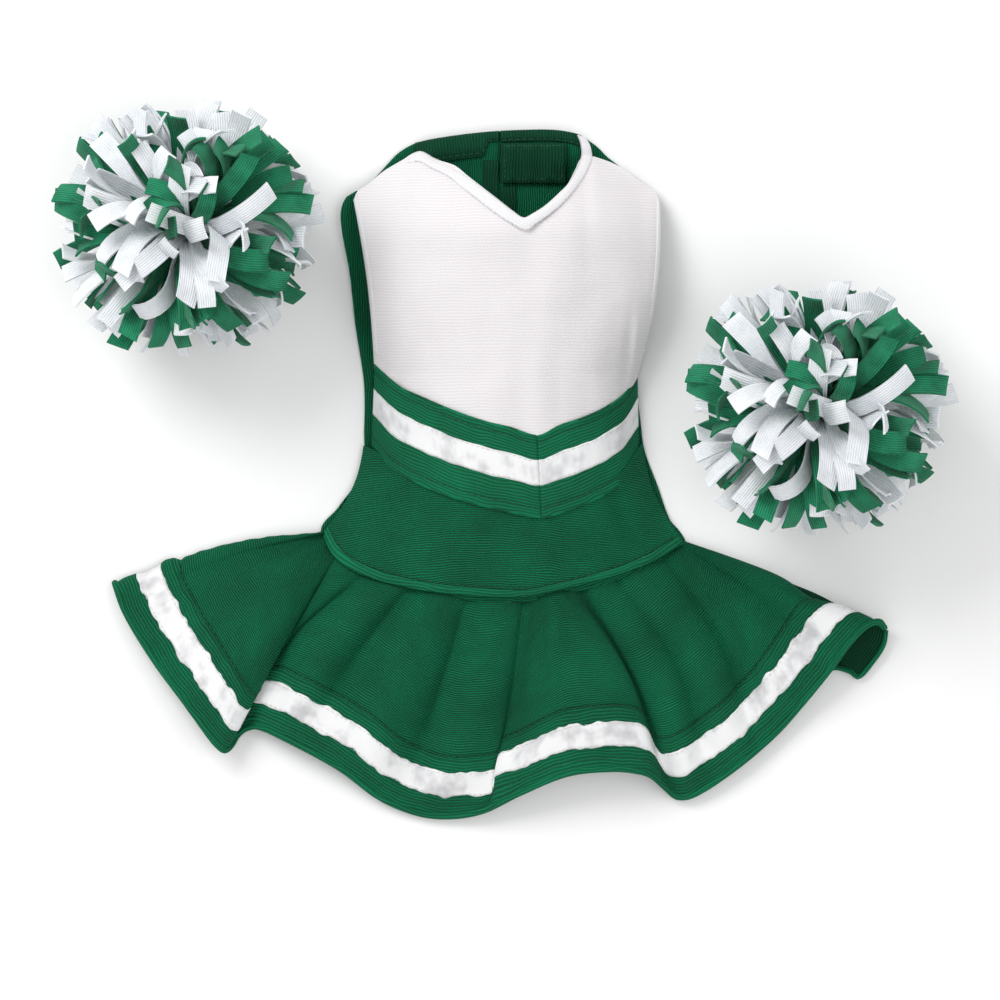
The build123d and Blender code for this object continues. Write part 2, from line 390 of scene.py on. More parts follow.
def fleeceMaterial(name, look):
    # one face of a strip shows fine cords, the other is brushed; U runs across the strip
    material, tree, shader = nodeTree(name)
    uv = clothPlace(tree)
    parts = wired(tree, "ShaderNodeSeparateXYZ", {"Vector": uv})
    turn = worked(tree, "MULTIPLY", parts.outputs["X"], 2 * math.pi / (look["cord"] * mm))
    cords = worked(tree, "SINE", turn)
    height = worked(tree, "MULTIPLY_ADD", cords, 0.42, clouds(tree, uv, 1500.0, 3.0))
    # the cords also darken the colour in their grooves, painted shade, over larger random patches of tone
    level = worked(tree, "MULTIPLY_ADD", height, 0.35, clouds(tree, uv, 90.0, 3.0))
    finished(tree, shader, look, height, level)
    return material


fleece = {"cord": 0.95, "bump": 0.7, "depth": 0.3, "roughness": 0.88, "specular": 0.15, "sheenRoughness": 0.5}
greenFleece = fleeceMaterial("green fleece", {
    **fleece, "sheen": 0.15,
    "colours": [(0.35, (0.006, 0.075, 0.036)), (0.62, (0.010, 0.165, 0.078)), (0.9, (0.022, 0.27, 0.135))],
})
whiteFleece = fleeceMaterial("white fleece", {
    **fleece, "sheen": 0.1,
    "colours": [(0.3, (0.58, 0.62, 0.66)), (0.6, (0.78, 0.81, 0.845)), (0.9, (0.92, 0.935, 0.96))],
})


def threadMaterial(name, colour):
    material, tree, shader = nodeTree(name)
    where = wired(tree, "ShaderNodeTexCoord").outputs["Object"]
    twist = clouds(tree, where, 1800.0, 1.0)
    dark = tuple(c * 0.6 for c in colour)
    look = {"bump": 0.4, "depth": 0.1, "roughness": 0.55, "colours": [(0.3, dark), (0.7, colour)]}
    finished(tree, shader, look, twist, twist)
    return material


greenThread = threadMaterial("green thread", (0.006, 0.085, 0.04))
whiteThread = threadMaterial("white thread", (0.86, 0.86, 0.88))


def tapeMaterial(name, size, colour):
    # close pile of hooks or loops
    material, tree, shader = nodeTree(name)
    cells = wired(tree, "ShaderNodeTexVoronoi", {"Vector": clothPlace(tree), "Scale": 1 / (size * mm)})
    pile = cells.outputs["Distance"]
    dark = tuple(c * 0.5 for c in colour)
    # darker away from the middle of each hook or loop: painted shade between them
    look = {"bump": 0.9, "depth": 0.4, "roughness": 0.6, "colours": [(0.1, colour), (0.6, dark)]}
    finished(tree, shader, look, pile, pile)
    return material


hookTape = tapeMaterial("hook tape", 0.9, (0.010, 0.12, 0.055))
loopTape = tapeMaterial("loop tape", 0.6, (0.012, 0.15, 0.07))
print("materials ready")

cameraPlace = {"x": -1.9, "y": -27.2, "height": 2600.0, "seen": 388.0, "sensor": 36.0}


def makeCamera():
    data = bpy.data.cameras.new("camera")
    data.sensor_width = cameraPlace["sensor"]
    data.lens = cameraPlace["sensor"] * cameraPlace["height"] / cameraPlace["seen"]
    data.clip_end = 20
    camera = bpy.data.objects.new("camera", data)
    camera.location = Vector([cameraPlace[key] for key in ("x", "y", "height")]) * mm
    bpy.context.scene.collection.objects.link(camera)
    bpy.context.scene.camera = camera


makeCamera()


# edges of the dress's cloths, left to right, in millimetres
bodiceTop = byLength([
    (-58.6, 88.6), (-56.8, 92.2), (-53.9, 93.9), (-46.6, 99.9), (-39.4, 104.2), (-35.6, 106.6),
    (-32.2, 107.4), (-27.4, 104.3), (-19.4, 101.4), (-14.2, 97.0), (-2.1, 87.2), (7.1, 80.4),
    (15.2, 84.9), (20.4, 89.8), (24.8, 94.6), (27.8, 100.4), (30.6, 105.4), (37.5, 104.3),
    (45.0, 101.1), (53.0, 95.2), (57.4, 92.4), (60.2, 87.6),
])
bandTop = byLength([
    (-50.6, 24.8), (-40.7, 16.0), (-30.7, 11.2), (-19.4, 6.4), (-8.5, 2.6), (1.9, 0.1), (12.4, -2.9),
    (21.3, 0.9), (30.7, 4.1), (38.8, 8.0), (46.2, 13.4), (51.4, 22.0),
])
bandBottom = byLength([
    (-51.6, -5.5), (-45.2, -13.2), (-38.4, -17.8), (-27.2, -23.2), (-14.0, -27.6), (0.0, -31.0),
    (14.0, -33.4), (25.2, -30.4), (36.1, -26.0), (44.6, -20.6), (52.0, -11.5),
])
yokeTop = byLength([
    (-54.8, -6.0), (-46.0, -10.0), (-38.4, -14.0), (-27.2, -20.0), (-14.0, -24.4), (0.0, -28.0),
    (14.0, -30.0), (25.2, -27.0), (36.1, -22.5), (44.6, -17.0), (53.4, -5.0),
])
yokeBottom = byLength([
    (-70.8, -40.0), (-66.5, -48.2), (-58.6, -54.3), (-42.7, -59.6), (-22.1, -63.0), (5.8, -64.4),
    (16.3, -62.7), (42.3, -56.2), (57.8, -50.3), (69.8, -43.6),
])


def across(table, x):
    # share along an edge at which it reaches x
    low, high = 0.0, 1.0
    for k in range(30):
        middle = (low + high) / 2
        if curve(table, middle)[0] < x:
            low = middle
        else:
            high = middle
    return (low + high) / 2


front = {
    "tuck": 3.0, "roll": 0.6, "bowLeft": 1.6, "bowRight": 2.9, "fall": 34.0, "shoulderShare": 0.21,
    "roundness": 2.3, "rim": 2.2, "rimAtNeck": 1.6,
}
armhole = {"low": 22.0, "high": 93.0, "lift": 13.0, "bindingShare": 0.021, "bindingWidth": 2.2, "length": 70.0}
shoulder = {"tip": 93.0, "neck": 107.0}
# how high the middle of the front stands, from the bottom of the yoke to the neck
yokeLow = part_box("yoke_front")[0].y / mm
crown = [(yokeLow, 14.0), (-30.0, 20.0), (0.0, 23.5), (45.0, 31.0), (72.0, 34.0), (110.0, 34.0)]
# short soft folds beside the armholes
frontMarks = [
    (-1.3, 47.3, 28.0, 0.10, 2.2, 14.0), (0.9, 51.0, 30.0, 0.0, 2.0, 12.0),
    (-0.9, -40.7, 18.0, 0.35, 4.0, 12.0),
]


def frontHeight(u, y):
    # how high the front stands at share u from left to right
    side = abs(2 * u - 1) ** front["roundness"]
    slope = min(1.0, min(u, 1 - u) / front["shoulderShare"])
    line = shoulder["tip"] + (shoulder["neck"] - shoulder["tip"]) * slope
    run = min(1.0, max(0.0, (line - y) / front["fall"]))
    fall = 1 - (1 - run) ** 2
    beside = 0.0
    if armhole["low"] < y < armhole["high"]:
        opened = (y - armhole["low"]) / (armhole["high"] - armhole["low"])
        beside = armhole["lift"] * math.sin(math.pi * opened)
    rim = front["rim"] + front["rimAtNeck"] * smoothStep((y - 60.0) / 20.0)
    return rim + curve(crown, y)[0] * (1 - side) * fall + beside * side


def frontPoint(u, v, tuck=0.0):
    # a point of the front between the waistband and the shoulders, whose sides bow outwards
    x, y = curve(bandTop, u)
    x, y = mixPoint((x, y - tuck), curve(bodiceTop, u), v)
    return x + math.sin(math.pi * v) * (front["bowLeft"] * (1 - u) ** 3 + front["bowRight"] * u**3), y


def frontFolds(u, x, y):
    # a soft hollow below the neck, short folds beside the armholes, and the drape over the waist
    folds = -1.1 * bell(x - 9.0 - (81 - y) * 0.05, 7.0) * smoothStep((y - 20) / 50)
    folds += sum(pinch(x, y, mark) for mark in frontMarks)
    folds += 0.8 * ripple(x, y, 26.0, 3.1) + 0.35 * ripple(x, y, 11.0, 8.7)
    folds += 0.9 * ripple(x, y * 0.2, 11.0, 12.2) * (1 - smoothStep((y - 30) / 40))
    return folds * min(1.0, 14 * min(u, 1 - u))


def makeFront():
    # the top edge turns under
    rollSteps = [(1.0, math.pi / 2 * share) for share in steps(4)[1:]]

    def point(u, mark):
        v, turn = mark
        x, y = frontPoint(u, v, front["tuck"])
        z = frontHeight(u, y) + frontFolds(u, x, y) - 0.7 * (1 - smoothStep(v / 0.05))
        y += front["roll"] * math.sin(turn)
        return x, y, z - front["roll"] * (1 - math.cos(turn)), x, y

    grid = gridOf(steps(150), [(v, 0.0) for v in steps(120)] + rollSteps, point)
    piece = clothMesh("front_panel_cloth", grid, 0.7)
    dress(piece, white, "white_knit", "front_panel")


# the V neck from the left shoulder to the back of the right one: its binding's two edges
neckInner = byLength([
    (-36.4, 106.2), (-32.4, 107.9), (-27.2, 105.3), (-20.2, 101.6), (-14.2, 97.5), (-9.0, 93.3), (-2.1, 87.8),
    (3.1, 83.6), (7.1, 81.0), (10.3, 82.4), (15.2, 85.6), (20.4, 90.4), (24.8, 95.2), (27.8, 100.8),
    (29.5, 106.4), (29.1, 110.7), (27.9, 114.0),
])
neckOuter = byLength([
    (-37.6, 103.4), (-33.3, 103.6), (-28.9, 101.0), (-21.8, 97.2), (-16.6, 92.6), (-11.4, 88.6), (-4.6, 83.0),
    (2.0, 78.6), (8.2, 76.0), (12.0, 78.6), (17.8, 82.8), (23.2, 87.8), (28.0, 93.6), (31.5, 99.6),
    (33.7, 105.4), (33.0, 110.0), (31.2, 113.3),
])
neck = {"turnsBack": 104.0, "frontEnd": 106.0, "backLift": 6.6, "length": 130.0, "width": 4.2}


def neckHeight(x, y):
    # the binding follows the front, then goes over to the back at the right shoulder
    u = across(bodiceTop, x) if y < neck["frontEnd"] + 0.5 else 0.5 + (x / 114.0)
    base = frontHeight(min(1.0, max(0.0, u)), min(y, neck["frontEnd"]))
    over = smoothStep((y - neck["turnsBack"]) / 5.0) if x > 0 else 0.0
    return base * (1 - over) + over * neck["backLift"] + 0.35


def neckPlace(u, t):
    return mixPoint(curve(neckInner, u), curve(neckOuter, u), t)


def makeNeckBinding():
    def point(t, u):
        x, y = neckPlace(u, t)
        puff = 0.45 * math.sin(math.pi * min(1.0, t * 1.1)) - (0.9 if t == 0 else 0.0)
        z = neckHeight(x, y) + puff + 0.12 * ripple(x * 3, y * 3, 5.0, 2.0)
        return x, y, z, u * neck["length"], t * neck["width"]

    piece = clothMesh("neck_binding_cloth", gridOf(steps(8), steps(220), point), 0.6)
    dress(piece, whiteTrim, "white_knit", "neck_binding")
    path = [neckPlace(u, 0.93) for u in steps(160, 0.02, 0.95)]
    path = [(x, y, neckHeight(x, y) + 0.75) for x, y in path]
    stitchRow("neck_stitches", path, whiteThread, "white_knit", stitch=1.6, gap=0.5, thick=0.35)


def makeArmholeBindings():
    for side in ("left", "right"):
        def point(t, v):
            inward = t * armhole["bindingShare"]
            u = inward if side == "left" else 1 - inward
            x, y = frontPoint(u, v)
            z = frontHeight(u, y) + 0.2 + 0.4 * math.sin(math.pi * t)
            return x, y, z, t * armhole["bindingWidth"], v * armhole["length"]

        piece = clothMesh(f"armhole_binding_{side}_cloth", gridOf(steps(6), steps(90, 0.08, 1.0), point), 0.6)
        dress(piece, whiteTrim, "white_knit", f"armhole_binding_{side}")


waistband = {
    "tipTop": 12.4, "tipLow": 14.0, "roll": 0.9, "lift": 1.3, "height": 31.0, "groove": 0.55,
    "stitches": {"top": (0.925, 0.022), "low": (0.10, 0.03)},      # place up the band, and the groove's width
    "sides": (("left", 80.0, 110, (0.076, 0.032)), ("right", 56.0, 80, (0.050, 0.032))),
}


bandTips = across(bandBottom, waistband["tipLow"]), across(bandTop, waistband["tipTop"])


def bandPoint(side, share, v, lift=0.0, groove=True):
    # a point on one half of the band, from its outer end to the V or from the V on, and up from its low edge
    def toU(tip):
        return share * tip if side == "left" else tip + share * (1 - tip)

    x, y = mixPoint(curve(bandBottom, toU(bandTips[0])), curve(bandTop, toU(bandTips[1])), v)
    z = frontHeight(toU(sum(bandTips) / 2), y) + waistband["lift"] + lift + 0.25 * ripple(x, y, 14.0, 5.5)
    if groove:
        # the topstitching pulls the band in along both edges
        grooves = (bell(v - place, width) for place, width in waistband["stitches"].values())
        z -= waistband["groove"] * sum(grooves)
    seam = waistband["tipTop"] + (waistband["tipLow"] - waistband["tipTop"]) * (1 - v)
    return x, y, z - 0.4 * bell(x - seam, 0.5)


def makeWaistband():
    rolls = ((0.0, 90), (0.0, 60), (0.0, 30), *((v, 0) for v in steps(64)), (1.0, 30), (1.0, 60), (1.0, 90))
    for side, length, columns, flat in waistband["sides"]:
        def point(share, mark):
            v, turn = mark
            x, y, z = bandPoint(side, share, v)
            way = -1 if v < 0.5 else 1
            y += way * waistband["roll"] * math.sin(math.radians(turn))
            z -= waistband["roll"] * (1 - math.cos(math.radians(turn)))
            return x, y, z, share * length, v * waistband["height"]

        piece = clothMesh(f"waistband_{side}_cloth", gridOf(steps(columns), rolls, point), 0.8)
        dress(piece, greenBand, "green_knit", f"waistband_{side}")
        for name, (v, width) in waistband["stitches"].items():
            path = [bandPoint(side, s, v, lift=0.12) for s in steps(120, 0.01, 0.99)]
            stitchRow(f"waistband_{side}_stitches_{name}", path, greenThread, "green_knit")


waistRibbon = {
    "top": 0.71, "low": 0.385, "lift": 0.35, "pucker": 0.22, "width": 9.5,
    "sides": (("left", 76.0), ("right", 50.0)), "stitches": (("top", 0.94), ("low", 0.06)),
}
ribbonStitch = {"stitch": 1.5, "gap": 0.6, "thick": 0.24}


def makeWaistRibbon():
    def upBand(t):
        return waistRibbon["low"] + (waistRibbon["top"] - waistRibbon["low"]) * t

    for side, length in waistRibbon["sides"]:
        def point(share, t):
            wobble = 0.012 * ripple(share * length, 0.0, 6.0, 1.3 + round(t)) * abs(2 * t - 1)
            x, y, z = bandPoint(side, share, upBand(t) + wobble, waistRibbon["lift"], groove=False)
            z += waistRibbon["pucker"] * ripple(share * length, t * 3.0, 5.0, 9.0)
            return x, y, z - 0.25 * bell(min(t, 1 - t), 0.05), share * length, t * waistRibbon["width"]

        piece = clothMesh(f"waist_ribbon_{side}_satin", gridOf(steps(150), steps(12), point), 0.35)
        dress(piece, satin, "white_satin", f"waist_ribbon_{side}")
        for name, t in waistRibbon["stitches"]:
            lift = waistRibbon["lift"] + 0.15
            path = [bandPoint(side, s, upBand(t), lift, groove=False) for s in steps(120, 0.01, 0.99)]
            stitchRow(
                f"waist_ribbon_{side}_stitches_{name}", path, whiteThread, "white_satin", **ribbonStitch,
            )


yoke = {
    "bow": 3.4, "marks": [(1.5, 53.5, -34.0, -0.25, 4.5, 15.0), (-1.8, 46.1, -36.0, -0.35, 4.0, 14.0)],
    "rollShare": 0.085, "rollHigh": 1.0, "rollDrop": 0.55, "stitchShare": 0.088,
}
allowance = {"from": 0.30, "to": 0.93, "deep": 2.3, "wave": 0.9, "under": 0.6}


def yokePoint(u, v):
    x, y = mixPoint(curve(yokeBottom, u), curve(yokeTop, u), v)
    x += math.sin(math.pi * v) * yoke["bow"] * ((1 - u) ** 6 - u**6)
    fold = sum(pinch(x, y, mark) for mark in yoke["marks"])
    fold += 0.7 * ripple(x, y, 22.0, 4.2) + 0.25 * ripple(x, y, 8.0, 6.0)
    return x, y, frontHeight(u, y) + fold * min(1.0, 10 * min(u, 1 - u)) * smoothStep(3 * v)


def makeYoke():
    def point(u, v):
        x, y, z = yokePoint(u, v)
        return x, y, z, x, y + 0.0016 * x * x

    def rollPoint(u, k):
        # below the seam the roll turns under, and above it lies over the yoke
        t = k / 12
        x, y, z = yokePoint(u, max(0.0, t) * yoke["rollShare"])
        puff = yoke["rollHigh"] * math.sin(math.pi * min(1.0, max(0.0, t) * 0.98 + 0.02)) ** 0.6
        return x, y - 0.3, z + min(0, k) * yoke["rollDrop"] + 0.25 + puff, x, t * 3.2

    piece = clothMesh("yoke_cloth", gridOf(steps(150), steps(70), point), 0.8)
    foldWithSkirt(dress(piece, green, "green_knit", "yoke_front", body=None))
    piece = clothMesh("yoke_edge_roll_cloth", gridOf(steps(150), range(-3, 13), rollPoint), 0.7)
    foldWithSkirt(dress(piece, greenBand, "green_knit", "yoke_edge_roll", body=None))
    path = [Vector(yokePoint(u, yoke["stitchShare"])) + Vector((0, 0, 0.3)) for u in steps(240, 0.01, 0.99)]
    foldWithSkirt(stitchRow("yoke_stitches", path, greenThread, "green_knit", body=None))


def makeAllowance():
    # the cut edge of the waist seam shows below the yoke in places
    def point(u, t):
        x, y, z = yokePoint(u, 0.0)
        fade = smoothStep(8 * (u - allowance["from"])) * smoothStep(8 * (allowance["to"] - u))
        deep = (allowance["deep"] + allowance["wave"] * ripple(x, 0, 9.0, 15.5)) * fade + allowance["under"]
        z += 0.3 * ripple(x, t, 6.0, 4.4) - 1.3 - 0.5 * t
        return x, y + allowance["under"] - deep * t, z, x, 2.5 * t

    grid = gridOf(steps(160, allowance["from"], allowance["to"]), steps(5), point)
    foldWithSkirt(dress(clothMesh("waist_seam_allowance", grid, 0.6), green, "green_knit", body=None))


# outer edges of the back from the yoke up, and its top edge from left to right
backEdges = {
    "left": [
        (-66.0, -71.0), (-38.0, -71.2), (-30.0, -64.6), (-16.0, -55.4), (0.0, -54.6), (12.8, -54.4),
        (20.6, -54.9), (39.6, -57.6), (61.7, -60.0), (78.0, -63.2), (84.0, -63.6), (89.2, -61.8),
        (93.4, -57.6), (94.4, -53.6),
    ],
    "right": [
        (-66.0, 70.0), (-43.0, 69.8), (-38.8, 67.4), (-34.9, 64.0), (-21.7, 59.2), (-8.1, 54.2), (1.6, 52.8),
        (21.7, 51.0), (37.2, 53.5), (55.1, 55.4), (70.6, 57.4), (87.3, 56.8), (94.4, 52.6),
    ],
}
backTop = [
    (-64.0, 88.0), (-58.2, 92.4), (-53.5, 94.6), (-45.2, 103.4), (-41.9, 106.9), (-37.2, 110.0), (-34.0, 111.3),
    (-22.1, 113.5), (-7.0, 115.3), (5.8, 116.0), (18.2, 116.1), (25.2, 115.2), (29.5, 113.9), (33.0, 111.8),
    (36.3, 109.3), (39.3, 106.2), (43.5, 102.9), (52.8, 95.0), (58.0, 90.0),
]
backLow = [(x, y) for share, x, y in yokeBottom]
back = {"lift": 0.95, "neckRise": 2.8, "leftLip": 3.5, "sway": 0.3}
slit = {"x": -2.0, "gap": 0.3}
slitLeft, slitRight = slit["x"] - slit["gap"], slit["x"] + slit["gap"]


def backHeight(x, y):
    # the back lies flat, but stands up a little at the neck and along its left edge
    rise = back["neckRise"] * smoothStep((y - 97.0) / 14.0) * (1 - smoothStep((abs(x) - 28.0) / 8.0))
    leftLip = back["leftLip"] * bell(x + 63.0, 5.0) * smoothStep((y - 15.0) / 30.0)
    sway = back["sway"] * (ripple(x, y, 18.0, 7.0) + 1) * smoothStep((y - 60.0) / 20.0)
    return back["lift"] + rise + leftLip + sway


def makeBack():
    for side in ("left", "right"):
        def point(t, v):
            # t runs from the slit to the outer edge; x settles between the side edge and the top edge
            x = slit["x"] + (-1 if side == "left" else 1) * t * 60.0
            for k in range(4):
                low, high = curve(backLow, x)[0], curve(backTop, x)[0]
                y = low + (high - low) * v
                x = slit["x"] + (curve(backEdges[side], y)[0] - slit["x"]) * t
            return x, y, backHeight(x, y), y, x

        piece = clothMesh(f"back_panel_{side}_cloth", gridOf(steps(44), steps(110), point), 0.8)
        foldWithSkirt(dress(piece, green, "green_knit", f"back_panel_{side}", body=None))


def backStrip(name, box, lift, thickness, material, slot, node, body="dress", puff=0.35, wave=0.0):
    # a flat piece on the back, in a box of left, right, low and high edge; puff rounds it towards its middle
    x0, x1, y0, y1 = box

    def point(t, v):
        x, y = x0 + (x1 - x0) * t, y0 + (y1 - y0) * v
        edge = min(min(t, 1 - t) * abs(x1 - x0), min(v, 1 - v) * abs(y1 - y0))
        z = backHeight(x, y) + lift + puff * (1 - math.exp(-edge / 0.7)) + 0.15 * ripple(x, y, 6.0, 3.3)
        return x, y, z + wave * (1 + math.sin(x * 0.85 + y * 0.12)) * smoothStep(edge / 2.5), y, x

    piece = clothMesh(name, gridOf(steps(30), steps(40), point), thickness)
    return dress(piece, material, slot, node, body=body)


tabLow, tabHigh = (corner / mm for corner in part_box("closure_tab"))
closure = {
    "lift": 1.9, "patchInset": 2.4, "stitchInset": (1.6, 1.6, 1.5, 1.2), "stitch": 1.7, "gap": 0.5,
    "placketLow": -14.0, "placketTop": {"left": 104.4, "right": tabLow.y - 0.8},
}


def makeClosure():
    for side, x0, x1 in (("left", -8.3, slitLeft), ("right", slitRight, 4.3)):
        box = (x0, x1, closure["placketLow"], closure["placketTop"][side])
        backStrip(
            f"back_placket_{side}_cloth", box, 0.55, 0.5, greenShadedCopy, "green_knit", f"back_placket_{side}",
        )
    tabBox = (slitRight, tabHigh.x, tabLow.y, tabHigh.y)
    ways = (1, -1, 1, -1)
    box = [place + way * closure["patchInset"] for place, way in zip(tabBox, ways)]
    backStrip("closure_loop_patch_pile", box, 0.5, 0.4, loopTape, "hook_and_loop", "closure_loop_patch")
    backStrip(
        "closure_hook_patch_pile", box, 1.15, 0.4, hookTape, "hook_and_loop", "closure_hook_patch",
        body="closure",
    )
    tab = backStrip(
        "closure_tab_cloth", tabBox, closure["lift"], 0.8, greenShadedCopy, "green_knit", "closure_tab",
        body="closure", puff=0.6, wave=0.45,
    )
    left, right, low, high = (p + way * inset for p, way, inset in zip(tabBox, ways, closure["stitchInset"]))
    corners = [(left, high), (left, low), (right, low), (right, high), (left, high)]
    path = []
    for a, b in zip(corners, corners[1:]):
        for t in steps(14):
            x, y = mixPoint(a, b, t)
            path.append((x, y, backHeight(x, y) + closure["lift"] + 0.75))
    stitchRow(
        "closure_tab_stitches", path, greenThread, "green_knit", body="closure",
        stitch=closure["stitch"], gap=closure["gap"],
    )


neckBand = {
    "sides": (("left", -35.0, slitLeft, 9.8), ("right", slitRight, 30.5, 4.6)), "cornerCut": 5.6,
    "puff": 0.8, "stitchShare": 0.82, "groove": 0.5,
}


def makeNeckBand():
    for side, low, high, wide in neckBand["sides"]:
        def placeAt(t):
            # the corner beside the closure is rounded off, so the tab swings clear of it
            x = low + (high - low) * t
            cut = neckBand["cornerCut"] * smoothStep((x - slit["x"] + 7.0) / 3.0) if side == "left" else 0.0
            return x, curve(backTop, x)[0], wide - cut

        def point(s, t):
            x, top, deep = placeAt(t)
            y = top + 0.2 - deep * s
            z = backHeight(x, y) + 0.6 + neckBand["puff"] * math.sin(math.pi * min(1.0, s * 1.02)) ** 0.6
            z -= neckBand["groove"] * bell(s - neckBand["stitchShare"], 0.06) + (0.9 if s == 0 else 0.0)
            return x, y, z, deep * s, x

        piece = clothMesh(f"back_neck_band_{side}_cloth", gridOf(steps(14), steps(90), point), 0.6)
        dress(piece, greenShadedCopy, "green_knit", f"back_neck_band_{side}")
        path = []
        for x, top, deep in map(placeAt, steps(90)):
            y = top - (deep - 0.2) * neckBand["stitchShare"]
            path.append((x, y, backHeight(x, y) + 1.15))
        stitchRow(
            f"back_neck_band_{side}_stitches", path, greenThread, "green_knit", stitch=2.0, gap=0.6,
        )


makeFront()
makeNeckBinding()
makeArmholeBindings()
makeWaistband()
makeWaistRibbon()
makeYoke()
makeAllowance()
makeBack()
makeClosure()
makeNeckBand()
print("bodice made")


# the hem from left to right, and how high it stands
hem = byLength([
    (-150.6, -60.4, 2.4), (-147.8, -69.8, 5.5), (-136.2, -88.9, 8.5), (-123.8, -105.5, 11.0),
    (-113.6, -119.4, 13.0), (-111.0, -122.4, 12.6), (-108.4, -124.3, 10.0), (-106.2, -122.6, 5.6),
    (-103.6, -118.6, 3.0), (-100.4, -116.2, 3.0), (-95.8, -115.3, 5.0), (-84.6, -120.0, 8.5),
    (-63.6, -131.5, 7.5),
    (-48.1, -143.0, 4.0), (-32.6, -149.2, 2.2), (-19.0, -150.0, 2.6), (-6.6, -147.1, 6.0), (5.8, -140.8, 11.0),
    (24.4, -133.1, 15.5), (42.3, -131.3, 16.0), (52.7, -132.6, 13.0), (57.4, -134.6, 9.5), (62.4, -139.0, 4.6),
    (67.0, -142.6, 2.6), (73.3, -141.7, 3.4), (88.9, -131.5, 4.6), (104.8, -118.0, 4.6), (114.8, -106.7, 6.5),
    (126.5, -92.0, 11.0), (133.9, -81.8, 13.0), (140.2, -75.8, 12.5), (145.0, -74.4, 9.5), (147.4, -77.0, 5.0),
])
# where each crease reaches the hem and leaves the seam, as shares from left to right
creases = [
    (0.0, 0.0), (0.207, 0.077), (0.230, 0.165), (0.295, 0.285), (0.41, 0.43), (0.503, 0.567),
    (0.705, 0.70), (0.755, 0.79), (0.815, 0.925), (0.93, 0.975), (1.0, 1.0),
]
# sideways bend of the lines, halfway down and in the band, by share along the hem
bends = [
    (0.0, 0.0, 0.0, 0.0, 0.0), (0.14, 0.0, 0.0, 0.0, 0.0), (0.198, 0.0, 0.0, 0.0, 0.0),
    (0.206, -0.5, 0.5, 0.2, 0.0),
    (0.229, -5.2, 4.8, -3.8, 3.6), (0.250, -4.8, 3.8, -1.4, 1.2), (0.295, -3.6, 2.4, -0.5, 0.3),
    (0.36, -1.2, 0.8, 0.0, 0.0), (0.41, 0.0, 0.0, 0.0, 0.0), (0.47, 0.4, 0.0, 0.6, -0.6),
    (0.497, 1.2, 0.0, 2.2, -1.6), (0.513, 1.0, 0.0, -2.4, 2.2), (0.54, 0.8, 0.0, -1.2, 0.8),
    (0.62, 2.4, 0.6, 0.4, 0.2), (0.674, 6.5, 3.0, 3.8, 1.6), (0.706, 3.8, 1.6, 1.2, 0.4),
    (0.755, 6.2, 2.6, 1.0, 0.6), (0.798, 4.4, 2.6, 1.4, 0.6), (0.818, 4.2, 2.4, -0.2, 0.6),
    (0.90, 2.0, 1.2, 0.4, 0.2), (1.0, 0.0, 0.0, 0.0, 0.0),
]
# the roll after each crease: height near the seam, halfway and at the band, and where its top lies
rolls = [
    (4.0, 8.0, 3.0, 0.72), (3.4, 1.6, 0.1, 0.5), (5.0, 8.6, 3.0, 0.6), (5.4, 9.2, 4.4, 0.62),
    (5.0, 8.4, 4.0, 0.5), (4.4, 6.6, 3.0, 0.5), (3.4, 6.4, 4.4, 0.55), (3.8, 7.0, 4.2, 0.45),
    (5.6, 8.0, 3.6, 0.42), (1.5, 3.0, 1.8, 0.5),
]
skirt = {
    "band": 25.5, "ribbonLow": 8.9, "ribbonWidth": 9.7, "stitch": 4.6, "tuck": 3.4,
    "bowLeft": 5.2, "bowRight": 2.0, "around": 380.0, "foldShare": 0.02, "under": 1.7,
}


@functools.cache
def skirtLine(s):
    # top and bottom of one line down the skirt, and how far it bends sideways
    u = min(1.0, max(0.0, curve(creases, s)[0]))
    x, y = curve(yokeBottom, u)
    z = max(1.9, frontHeight(u, y) - skirt["tuck"])
    top = Vector((x, y + 3.0 * math.sin(math.pi * u) ** 0.3, z))
    return top, Vector(curve(hem, s)), curve(bends, s)


def sideBow(s):
    # the skirt's outer edges bow upwards
    return skirt["bowLeft"] * max(0.0, 1 - s / 0.16) ** 1.5 + skirt["bowRight"] * max(0.0, (s - 0.88) / 0.12)


def rollHeight(s, v):
    k = max(i for i in range(len(rolls)) if creases[i][0] <= s + 1e-9)
    near, middle, band, crest = rolls[k]
    a, b = creases[k][0], creases[k + 1][0]
    high = curve([(0.0, 0.6), (0.15, near), (0.5, middle), (0.82, band), (1.0, 0.0)], v)[0]
    t = min(1.0, max(0.0, (s - a) / (b - a))) ** (math.log(0.5) / math.log(crest))
    return high * math.sin(math.pi * t) ** (0.6 + smoothStep((v - 0.5) / 0.4))


def turnDown(p, s, v, length):
    # the folded edge at the left turns down to the layer under it, fuller along the stitched hem
    inner = s / skirt["foldShare"]
    fromEdge = (1 - v) * length
    full = 1.1 * smoothStep((skirt["band"] - fromEdge) / 2)
    full -= 0.9 * bell(fromEdge - 13.5, 4.5) + 0.5 * bell(fromEdge - skirt["band"], 1.0)
    full += 0.35 * ripple(fromEdge, 3.0, 3.5, 6.6)
    p.x -= full * (1 - inner)
    p.y += full * (1 - inner)
    p.z = skirt["under"] + (max(p.z, 4.6) - skirt["under"]) * math.sqrt(max(0.0, 1 - (1 - inner) ** 2))


